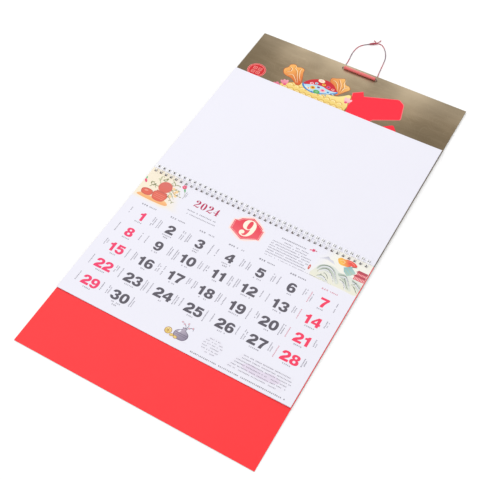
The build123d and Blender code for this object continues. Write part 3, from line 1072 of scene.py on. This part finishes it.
def fanShapes():
    # a painted fan with a red field, ribs and round spots
    fan = [(-68, 257), (-62.6, 266.4), (-54, 273.4), (-44, 278), (-34, 279.2), (-24, 275.6),
           (-16.4, 268.6), (-11.4, 262.4), (-20, 255.6), (-30, 250), (-40, 246.2), (-50, 245),
           (-60, 247.6), (-66, 251.6)]
    hub = Vector((-40, 262))

    def shrunk(by, low=0.0):
        return smooth([tuple(hub + (Vector(p) - hub) * by + Vector((0, low))) for p in fan])
    shapes = [("fanBlue", 4, [smooth(fan)]), ("fanSky", 5, [shrunk(0.92, 0.8)]),
              ("fanRed", 6, [smooth([
                  (-67, 258), (-62.4, 266.6), (-54, 273.6), (-44, 278.2), (-34, 279.4),
                  (-24, 275.8), (-16.6, 268.8), (-13.6, 265), (-20, 262.6), (-29, 262.6),
                  (-38, 264.6), (-48, 263), (-57, 259.4), (-64, 256.6)])])]
    for i in range(9):
        a = math.radians(200 + i * 17.5)
        x, y = -40 + 27 * math.cos(a), 262 + 16.5 * math.sin(a)
        shapes.append((("fanBlue", "fanCream", "fanSky")[i % 3], 6,
                       [bar(x, y, x * 0.86 - 5.6, y * 0.86 + 36.6, 1.5)]))
    for ink, core, x, y, wide, tall in (
            ("fanGreen", "leafGreen", -41, 250, 5.2, 3.9), ("petal", "blossom", -34, 257, 4.6, 3.8),
            ("fanSky", "fanPlum", -42.4, 259.6, 5.2, 3.6), ("fanYellow", "orangeDark", -50, 255.4, 4.2, 3.6),
            ("fanCream", "orange", -55.4, 250.8, 2.6, 2.4), ("fanSky", "fanBlue", -25, 257, 4.0, 3.4),
            ("fanCream", "petal", -44, 274.6, 5.4, 3.6), ("blossom", "fanPlum", -29, 267.4, 3.4, 3.0),
            ("petal", "fanRed", -55, 262.6, 3.2, 2.7), ("fanYellow", "fanRed", -37.4, 269, 3.0, 2.4),
            ("sealPink", "fanRed", -21, 266.2, 2.6, 2.2), ("fanSky", "fanPlum", -48.6, 266.4, 2.6, 2.2)):
        shapes.append((ink, 7, [ellipse(x, y, wide, tall, 0, 26)]))
        shapes.append((core, 8, [ellipse(x, y + 0.3, wide * 0.48, tall * 0.48, 0, 18)]))
    return shapes


def sealShapes():
    # the round seal, with four plain squares
    x, y, radius = -143.0, 245.6, 14.3
    shapes = [("sealPink", 0, [ellipse(x, y, radius + 0.5)]), ("sealRed", 1, [ellipse(x, y, radius)]),
              ("sealPink", 2, [ellipse(x, y, radius - 1.6), ellipse(x, y, radius - 2.2)])]
    for across in (-4.1, 4.1):
        for up in (-4.1, 4.1):
            left, low = x + across, y + up
            shapes += [("sealPink", 2, [box(left - 2.9, low - 2.9, left + 2.9, low + 2.9),
                                        box(left - 2.2, low - 2.2, left + 2.2, low + 2.2)]),
                       ("sealPink", 2, [bar(left - 1.1, low, left + 1.1, low, 0.8)])]
    return shapes


def headShapes():
    shapes = ribbonShapes() + hillShapes() + cloudShapes(random.Random(21)) + fanShapes()
    return shapes + sealShapes() + flower(-101.8, 233.4, 6.2, "petal", "sealRed", 4)


def addShape(bm, outlines, lift, surface, facing, inkIndex):
    # one closed flat shape on a surface: surface gives (x, y, z) for a place
    flat = bmesh.new()
    corners = [flat.verts.new((x, down, 0)) for line in outlines for x, down in line]
    for face in tessellate_polygon([[Vector((x, down, 0)) for x, down in line]
                                    for line in outlines]):
        if len(set(face)) == 3:
            flat.faces.new([corners[k] for k in face])
    step = inkSettings["largest"]
    for axis in (0, 1):
        values = [v.co[axis] for v in flat.verts]
        normal = Vector((1, 0, 0)) if axis == 0 else Vector((0, 1, 0))
        for k in range(math.ceil(min(values) / step), math.ceil(max(values) / step)):
            bmesh.ops.bisect_plane(flat, geom=flat.verts[:] + flat.edges[:] + flat.faces[:],
                                   plane_co=normal * (k * step), plane_no=normal)
    flat.verts.index_update()
    top, low = [], []
    for v in flat.verts:
        x, y, z = surface(v.co.x * mm, v.co.y * mm)
        top.append(bm.verts.new((x, y, z + facing * lift * mm)))
        low.append(bm.verts.new((x, y, z - facing * inkSettings["sunk"] * mm)))
    faces = []
    for face in flat.faces:
        index = [v.index for v in face.verts]
        faces += [bm.faces.new([top[k] for k in index]), bm.faces.new([low[k] for k in index[::-1]])]
    for edge in flat.edges:
        if len(edge.link_faces) == 1:
            a, b = (v.index for v in edge.verts)
            faces.append(bm.faces.new((top[a], low[a], low[b], top[b])))
    for face in faces:
        face.material_index = inkIndex
    flat.free()


def makePrint(name, shapes, surface, facing, body):
    used = sorted({ink for ink, layer, outlines in shapes})
    bm = bmesh.new()
    for ink, layer, outlines in shapes:
        lift = inkSettings["lift"] + inkSettings["layerStep"] * layer
        addShape(bm, outlines, lift, surface, facing, used.index(ink))
    bmesh.ops.recalc_face_normals(bm, faces=bm.faces)
    piece = finishMesh(bm, name, [inkMaterial(ink) for ink in used], smooth=False)
    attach(piece, body)
    print(f"{name}: {len(shapes)} shapes, {len(piece.data.polygons)} faces")


def pageSurface(node, index, top):
    settings, plate = stackSettings[node], plateOf(node)

    def surface(x, down):
        margin = sheetSettings["printMargin"]
        x = max(plate["left"] + margin, min(plate["right"] - margin, x))
        z = sheetLevels(settings, plate, index, x, down)[1 if top else 0]
        return x, plate["side"] * down, z
    return surface


printed = printedPaper()
for stackNode in stackSettings:
    makeStack(stackNode)
print("sheets are made")
makePrint("SeptemberPrint", monthShapes(9, 0, 30, 9), pageSurface("front_page", 0, True), 1,
          "front_page")
makePrint("OctoberPrint", monthShapes(10, 2, 31, 10), pageSurface("later_pages", 2, True), 1,
          "later_pages")
makePrint("JanuaryPrint", monthShapes(1, 1, 31, 1), pageSurface("turned_pages", 0, False), -1,
          "turned_pages")
print("month pages are printed")


# The two boards.

boardSettings = {
    "head_board": {"body": "head", "slot": "gold_foil_card", "card": srgb(178, 172, 164)},
    "base_board": {"body": "base", "slot": "red_card", "card": srgb(186, 180, 176)},
    "foil": srgb(153, 134, 106),
    # dark foil, for the random mottling and for the painted shade by the binding and at the sides
    "foilMottleAndPaintedShade": srgb(86, 73, 52),
    # light foil, for the streak and swirl pattern and for the painted reflection towards the top
    "foilPatternAndPaintedReflection": srgb(190, 172, 144),
    "red": srgb(251, 6, 22),
    "rows": 14,
}


def foilMaterial():
    foil, foilMottleAndPaintedShade, foilPatternAndPaintedReflection = (boardSettings[key] for key in ("foil", "foilMottleAndPaintedShade", "foilPatternAndPaintedReflection"))
    mat, tree, shader, grainNode = grainedMaterial(
        "goldFoil", foil, shade=0.12, grain=1500.0, cloud=24.0, gloss=0.36,
        glossSpread=0.16, tooth=0.12, Metallic=0.82)
    place = addNode(tree, "ShaderNodeTexCoord").outputs["Object"]
    turned = addNode(tree, "ShaderNodeMapping")
    turned.inputs["Rotation"].default_value = (0, 0, math.radians(33))
    turned.inputs["Scale"].default_value = (1.0, 5.0, 1.0)
    link(tree, place, turned.inputs["Vector"])
    patches = spread(tree, noiseAt(tree, place, scale=9.0, detail=2.0), 0.36, 0.68)
    streaks = spread(tree, noiseAt(tree, turned.outputs[0], scale=26.0, detail=4.0), 0.4, 0.72)
    # painted reflection: the foil lighter towards its top edge
    paintedTopReflection = washNode(tree, (0, 268), (0, 330), 0.6, 14.0, (foil, foilPatternAndPaintedReflection))
    toned = mixColour(tree, maths(tree, "MULTIPLY", patches, 0.5), paintedTopReflection.outputs["Colour"], foilMottleAndPaintedShade)
    toned = mixColour(tree, maths(tree, "MULTIPLY", streaks, 0.14), toned, foilPatternAndPaintedReflection)
    swirl = maths(tree, "MULTIPLY", noiseAt(tree, place, scale=22.0, detail=1.0), 150.0)
    lines = spread(tree, maths(tree, "SINE", swirl, 0.0), 0.82, 0.99)
    toned = mixColour(tree, maths(tree, "MULTIPLY", lines, 0.1), toned, foilPatternAndPaintedReflection)
    # painted shade: darker by the binding, at the right and, most of all, at the left
    for start, end, uneven, scale, strength in (
            ((0, 226), (0, 286), 0.5, 18.0, 0.5), ((150, 0), (90, 0), 0.5, 18.0, 0.2),
            ((-176, 0), (-96, 0), 0.4, 16.0, 0.62)):
        kept = maths(tree, "MULTIPLY", fadeAlong(tree, start, end, uneven, scale), strength)
        toned = mixColour(tree, kept, toned, foilMottleAndPaintedShade)
    link(tree, toned, grainNode.inputs["Colour"])
    return mat


def makeBoard(node, face):
    plate, settings = plateOf(node), boardSettings[node]
    row = holeLine((plate["under"][0] + plate["top"][0]) / 2)
    columns, rows = gridLines(plate["left"], plate["right"], plate["near"], plate["far"], row,
                              boardSettings["rows"])
    bm = bmesh.new()
    addPunchedSheet(bm, columns, rows, plate["side"], lambda x, down: (
        heightIn(plate, 0.0, down), heightIn(plate, 1.0, down)), (0, 1, 1, 2))
    bmesh.ops.recalc_face_normals(bm, faces=bm.faces)
    card = grainedMaterial(node.title().replace("_", "") + "Card", settings["card"], shade=0.25,
                           grain=2200.0, cloud=40.0, gloss=0.75, tooth=0.35)[0]
    # the board's hole walls take the painted hole shade too
    piece = finishMesh(bm, node.title().replace("_", ""), [face, card, paintedHoleShade],
                       smooth=False)
    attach(piece, settings["body"])
    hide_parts(node)


def headSurface(x, down):
    return x, down, heightIn(plateOfHead, 1.0, down)


redCard = grainedMaterial("redCoatedCard", boardSettings["red"], shade=0.06, grain=1900.0,
                          cloud=20.0, gloss=0.38, glossSpread=0.14, tooth=0.1,
                          Coat_Weight=0.15, Coat_Roughness=0.3)[0]
plateOfHead = plateOf("head_board")
makeBoard("head_board", foilMaterial())
makeBoard("base_board", redCard)
makePrint("HeadPrint", headShapes(), headSurface, 1, "head")
print("boards are made")


# The binding wire.

def ringPoint(x, angle):
    a = math.radians(angle)
    return Vector((x, hinge.y + ringRadius * math.cos(a), hinge.z + ringRadius * math.sin(a)))


def alongRing(angle):
    a = math.radians(angle)
    return Vector((0, -math.sin(a), math.cos(a)))


def bendPoints(start, sideways, forward, fromAngle, toAngle):
    # a bend in the wire: start is where its own circle's angle is fromAngle
    steps = wireSettings["bendSteps"]
    radius = wireSettings["halfFinger"]
    a0 = math.radians(fromAngle)
    middle = start - (sideways * math.cos(a0) + forward * math.sin(a0)) * radius
    for i in range(1, steps + 1):
        a = math.radians(fromAngle + (toAngle - fromAngle) * i / steps)
        yield middle + (sideways * math.cos(a) + forward * math.sin(a)) * radius


def wireRoute():
    half = wireSettings["halfFinger"]
    bend = math.degrees(half / ringRadius)
    tip = -90 + wireSettings["seamHalfGap"] + bend
    foot = 270 - wireSettings["seamHalfGap"] - bend
    steps = wireSettings["arcSteps"]
    across = Vector((1, 0, 0))
    points = []
    for i, x in enumerate(loopMiddles):
        arc = [foot + (tip - foot) * k / steps for k in range(steps + 1)]
        points += [ringPoint(x - half, angle) for angle in arc]
        points += bendPoints(points[-1], across, -alongRing(tip), 180, 0)
        points += [ringPoint(x + half, angle) for angle in reversed(arc)][1:]
        if i + 1 < len(loopMiddles):
            points += bendPoints(points[-1], across, alongRing(foot), 180, 90)
            target = ringPoint(loopMiddles[i + 1] - half, foot)
            points.append(target - across * half + alongRing(foot) * half)
            points += list(bendPoints(points[-1], across, alongRing(foot), 90, 0))[:-1]
    return points


def makeCurve(name, kind, points):
    curve = bpy.data.curves.new(name, "CURVE")
    curve.dimensions = "3D"
    spline = curve.splines.new(kind)
    spline.points.add(len(points) - 1)
    for target, point in zip(spline.points, points):
        target.co = (*point, 1)
    piece = bpy.data.objects.new(name, curve)
    bpy.context.scene.collection.objects.link(piece)
    return piece, curve, spline


def makeWire():
    wire, curve, spline = makeCurve("bindingWire", "POLY", wireRoute())
    curve.bevel_depth = wireSettings["thickness"] / 2
    curve.bevel_resolution = wireSettings["roundness"]
    curve.use_fill_caps = True
    mat = grainedMaterial("whiteNylonCoat", wireSettings["colour"], shade=0.03, grain=900.0,
                          cloud=120.0, gloss=0.3, glossSpread=0.15, tooth=0.05,
                          Coat_Weight=0.4, Coat_Roughness=0.2)[0]
    curve.materials.append(mat)
    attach(wire, "head")
    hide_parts("binding_wire")


makeWire()
print("binding wire is made")


# The hanging cord, its knot and its sleeve.

sleeveLow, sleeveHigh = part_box("hanger_sleeve")
sleeveMiddle = (sleeveLow + sleeveHigh) / 2
cordSettings = {
    "diameter": 1.3 * mm,
    "strands": 3,
    "strandShare": 0.6,       # a strand's radius, as a share of the cord's
    "twist": 3.6 * mm,        # one full turn of a strand
    "strandSides": 8,
    "step": 0.3 * mm,
    "colour": srgb(182, 18, 58),
    "dark": srgb(104, 82, 96),
}
cordLow = cordSettings["diameter"] / 2
cordTop = sleeveMiddle.z
cordRoute = [
    (-25.6 * mm, sleeveMiddle.y, cordTop), (-29.4 * mm, sleeveMiddle.y, cordTop),
    (-29.4 * mm, sleeveMiddle.y, cordLow), (-28.4 * mm, 325.0 * mm, cordLow),
    (-28.6 * mm, 338.0 * mm, cordLow), (-31.6 * mm, 356.5 * mm, cordLow),
    (-29.6 * mm, 376.0 * mm, cordLow), (-17.4 * mm, 387.9 * mm, cordLow),
    (-1.6 * mm, 399.2 * mm, cordLow), (10.4 * mm, 389.8 * mm, cordLow),
    (19.4 * mm, 373.2 * mm, cordLow), (22.0 * mm, 355.4 * mm, cordLow),
    (24.1 * mm, 338.7 * mm, cordLow), (26.4 * mm, 325.0 * mm, cordLow),
    (29.4 * mm, sleeveMiddle.y, cordLow), (29.4 * mm, sleeveMiddle.y, cordTop),
    (25.6 * mm, sleeveMiddle.y, cordTop),
]
knotSettings = {
    "start": Vector((-16.4, 387.4, 1.7)) * mm,
    "end": Vector((-5.4, 395.4, 1.7)) * mm,
    "turns": 6,
    "stepsPerTurn": 20,
    "coilRadius": 1.02 * mm,
    "narrowEnds": 0.72,       # the coil's radius at its ends, as a share
    "coreShare": 0.8,         # the core's radius, as a share of the coil's
    "strandRadius": 0.62 * mm,
    "sides": 10,
    "tails": [[(-7.2, 394.0, 1.7), (-9.6, 397.8, 1.6), (-13.2, 399.4, 0.8)],
              [(-7.2, 394.0, 1.7), (-4.6, 398.6, 1.7), (-3.6, 405.0, 0.8)]],
}


def smoothLine(points, smoothness=16):
    # the points of a NURBS line with these control points
    holder, curve, spline = makeCurve("line", "NURBS", points)
    spline.resolution_u = smoothness
    spline.order_u = 3
    spline.use_endpoint_u = True
    mesh = bpy.data.meshes.new_from_object(holder)
    found = [v.co.copy() for v in mesh.vertices]
    bpy.data.objects.remove(holder)
    bpy.data.curves.remove(curve)
    bpy.data.meshes.remove(mesh)
    return found


def evenly(points, step):
    # the same line with its points a fixed distance apart
    lengths = [(b - a).length for a, b in zip(points, points[1:])]
    total = sum(lengths)
    count = max(2, round(total / step))
    made, passed, index = [], 0.0, 0
    for i in range(count + 1):
        target = total * i / count
        while index < len(lengths) - 1 and passed + lengths[index] < target:
            passed += lengths[index]
            index += 1
        share = (target - passed) / lengths[index] if lengths[index] else 0
        made.append(points[index].lerp(points[index + 1], min(1.0, max(0.0, share))))
    return made


def framesAlong(points):
    # two directions square to the line at each point, carried along without twisting
    side = None
    for i, point in enumerate(points):
        ahead = (points[min(i + 1, len(points) - 1)] - points[max(i - 1, 0)]).normalized()
        if side is None:
            side = ahead.orthogonal().normalized()
        side = (side - ahead * side.dot(ahead)).normalized()
        yield point, side, ahead.cross(side)


def joinRings(bm, rings, following):
    for near, far in zip(rings, following):
        for k in range(len(near)):
            after = (k + 1) % len(near)
            bm.faces.new((near[k], near[after], far[after], far[k]))


def addTube(bm, points, radius, sides):
    rings = []
    for point, side, up in framesAlong(points):
        ring = []
        for k in range(sides):
            a = 2 * math.pi * k / sides
            ring.append(bm.verts.new(point + side * (radius * math.cos(a))
                                     + up * (radius * math.sin(a))))
        rings.append(ring)
    joinRings(bm, rings, rings[1:])
    bm.faces.new(list(reversed(rings[0])))
    bm.faces.new(rings[-1])


def addTwistedCord(bm, points, diameter):
    # strands laid round the line, as a thin plied cord has
    strands, outer = cordSettings["strands"], diameter / 2
    strandRadius = outer * cordSettings["strandShare"]
    offset = outer - strandRadius
    fine = evenly(points, cordSettings["step"])
    frames = list(framesAlong(fine))
    for n in range(strands):
        line = []
        for i, (point, side, up) in enumerate(frames):
            a = 2 * math.pi * (i * cordSettings["step"] / cordSettings["twist"] + n / strands)
            line.append(point + side * (offset * math.cos(a)) + up * (offset * math.sin(a)))
        addTube(bm, line, strandRadius, cordSettings["strandSides"])


def cordMaterial(name, worn):
    mat, tree, shader, grainNode = grainedMaterial(
        name, cordSettings["colour"], shade=0.4, grain=5200.0, cloud=60.0, gloss=0.62,
        glossSpread=0.2, tooth=0.6, Sheen_Weight=0.25)
    place = addNode(tree, "ShaderNodeTexCoord").outputs["Object"]
    faded = maths(tree, "MULTIPLY", worn,
                  spread(tree, noiseAt(tree, place, scale=42.0, detail=1.0), 0.46, 0.56))
    link(tree, mixColour(tree, faded, cordSettings["colour"], cordSettings["dark"]),
         grainNode.inputs["Colour"])
    return mat


def makeCord():
    material, knotMaterial = cordMaterial("pliedCord", 0.9), cordMaterial("knotCord", 0.15)
    line = smoothLine(cordRoute)
    bm = bmesh.new()
    addTwistedCord(bm, line, cordSettings["diameter"])
    cord = finishMesh(bm, "HangingCord", [material])
    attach(cord, "head")
    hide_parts("hanging_cord")

    start, end = knotSettings["start"], knotSettings["end"]
    axis = (end - start).normalized()
    side = axis.orthogonal().normalized()
    up = axis.cross(side)
    count = knotSettings["stepsPerTurn"] * knotSettings["turns"]
    narrow = knotSettings["narrowEnds"]
    coil = []
    for i in range(count + 1):
        share = i / count
        bulge = knotSettings["coilRadius"] * (narrow + (1 - narrow) * math.sin(math.pi * share))
        a = 2 * math.pi * knotSettings["turns"] * share
        coil.append(start.lerp(end, 0.07 + 0.86 * share)
                    + side * (bulge * math.cos(a)) + up * (bulge * math.sin(a)))
    bm = bmesh.new()
    addTube(bm, coil, knotSettings["strandRadius"], knotSettings["sides"])
    core = [start.lerp(end, 0.04 + 0.92 * i / 6) for i in range(7)]
    addTube(bm, core, knotSettings["coilRadius"] * knotSettings["coreShare"], knotSettings["sides"])
    for tail in knotSettings["tails"]:
        tailLine = smoothLine([Vector(p) * mm for p in tail])
        addTwistedCord(bm, tailLine, cordSettings["diameter"])
    knot = finishMesh(bm, "CordKnot", [knotMaterial])
    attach(knot, "head")
    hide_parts("cord_knot")
    length = sum((b - a).length for a, b in zip(line, line[1:]))
    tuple(cordRoute[0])
    print(f"cord is {length:.4f} m long")


sleeveSettings = {
    "wall": 0.7 * mm,
    "lip": 0.25 * mm,
    "sides": 40,
    "slices": 40,
    "unevenness": 0.06 * mm,
    "waves": (190, 67),       # radians a metre, of the slow dents along the tube
    "colour": srgb(232, 104, 102),
}


def makeSleeve():
    outer = (sleeveHigh.z - sleeveLow.z) / 2 - sleeveSettings["unevenness"]
    inner = outer - sleeveSettings["wall"]
    lip, sides, slices = sleeveSettings["lip"], sleeveSettings["sides"], sleeveSettings["slices"]
    profile = [(sleeveLow.x + lip * 0.3, inner), (sleeveLow.x, inner + lip),
               (sleeveLow.x, outer - lip), (sleeveLow.x + lip, outer)]
    length = sleeveHigh.x - sleeveLow.x
    profile += [(sleeveLow.x + length * i / slices, outer) for i in range(1, slices)]
    profile += [(sleeveHigh.x - lip, outer), (sleeveHigh.x, outer - lip),
                (sleeveHigh.x, inner + lip), (sleeveHigh.x - lip * 0.3, inner)]
    first, second = sleeveSettings["waves"]
    bm = bmesh.new()
    rings = []
    for x, radius in profile:
        dent = sleeveSettings["unevenness"] * math.sin(x * first) * math.sin(x * second + 1)
        ring = []
        for k in range(sides):
            a = 2 * math.pi * k / sides
            r = radius + dent * math.cos(2 * a)
            ring.append(bm.verts.new((x, sleeveMiddle.y + r * math.cos(a),
                                      sleeveMiddle.z + r * math.sin(a))))
        rings.append(ring)
    joinRings(bm, rings, rings[1:] + rings[:1])
    bmesh.ops.recalc_face_normals(bm, faces=bm.faces)
    mat = grainedMaterial("redTubePlastic", sleeveSettings["colour"], shade=0.15, grain=700.0,
                          cloud=90.0, gloss=0.22, glossSpread=0.12, tooth=0.05,
                          Coat_Weight=0.5, Coat_Roughness=0.12, Subsurface_Weight=0.15,
                          Subsurface_Scale=0.001)[0]
    sleeve = finishMesh(bm, "HangerSleeve", [mat])
    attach(sleeve, "head")
    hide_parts("hanger_sleeve")


makeCord()
makeSleeve()
print("cord, knot and sleeve are made")
